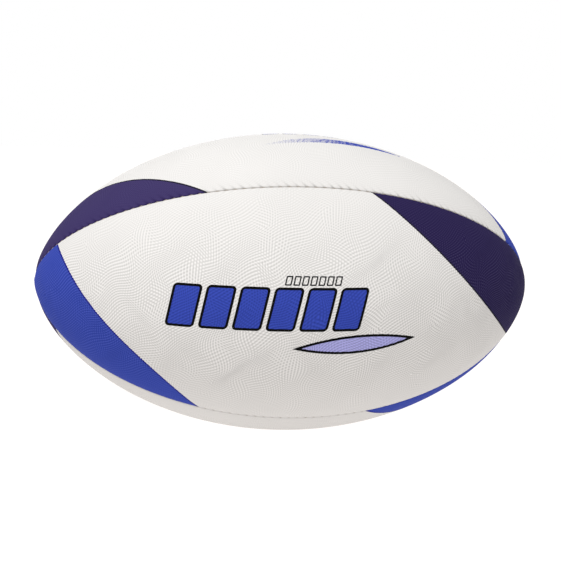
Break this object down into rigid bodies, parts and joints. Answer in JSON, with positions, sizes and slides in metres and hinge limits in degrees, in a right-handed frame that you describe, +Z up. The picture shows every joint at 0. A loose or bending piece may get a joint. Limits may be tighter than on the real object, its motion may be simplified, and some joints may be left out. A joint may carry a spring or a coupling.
{
  "type": "rugby ball",
  "caption": "Long oval ball with pointed ends for rugby: stitched pimpled rubber panels over a fabric backing and an inflated bladder with a needle valve.",
  "frame": {"origin": "the middle of the ball, half way between its poles", "axes": "+X along the ball's long axis to its right pole; -Y out through the front panel; +Y out through the valve; +Z up, with the ball lying on its side on the bottom panel"},
  "size_m": [0.303, 0.1778, 0.178],
  "materials": {
    "cover_rubber": "matte off-white pimpled rubber, printed royal blue and dark navy at the ends",
    "cotton_ply": "plain-woven unbleached cotton, rubberised",
    "polyester_ply": "plain-woven white polyester",
    "waxed_thread": "twisted polyester thread with a wax sheen",
    "latex": "amber latex, satin",
    "valve_rubber": "moulded black rubber, satin",
    "core_rubber": "soft red rubber, satin",
    "patch_rubber": "dark grey rubber, matte"
  },
  "bodies": {
    "ball": {"panel_front": "cover_rubber", "panel_top": "cover_rubber", "panel_back": "cover_rubber", "panel_bottom": "cover_rubber", "outer_ply_front": "cotton_ply", "outer_ply_top": "cotton_ply", "outer_ply_back": "cotton_ply", "outer_ply_bottom": "cotton_ply", "inner_ply_front": "polyester_ply", "inner_ply_top": "polyester_ply", "inner_ply_back": "polyester_ply", "inner_ply_bottom": "polyester_ply", "seam_thread_top_front": "waxed_thread", "seam_thread_top_back": "waxed_thread", "seam_thread_bottom_back": "waxed_thread", "seam_thread_bottom_front": "waxed_thread", "end_knot_left": "waxed_thread", "end_knot_right": "waxed_thread", "bladder": "latex", "bladder_valve_patch": "patch_rubber", "balance_patch": "patch_rubber", "valve_body": "valve_rubber"},
    "valve_core": {"valve_core": "core_rubber"}
  },
  "joints": [
    {"name": "valve_core_slide", "type": "slide", "parent": "ball", "child": "valve_core", "axis": [0, 1, 0], "range_m": [0, 0.014]}
  ]
}
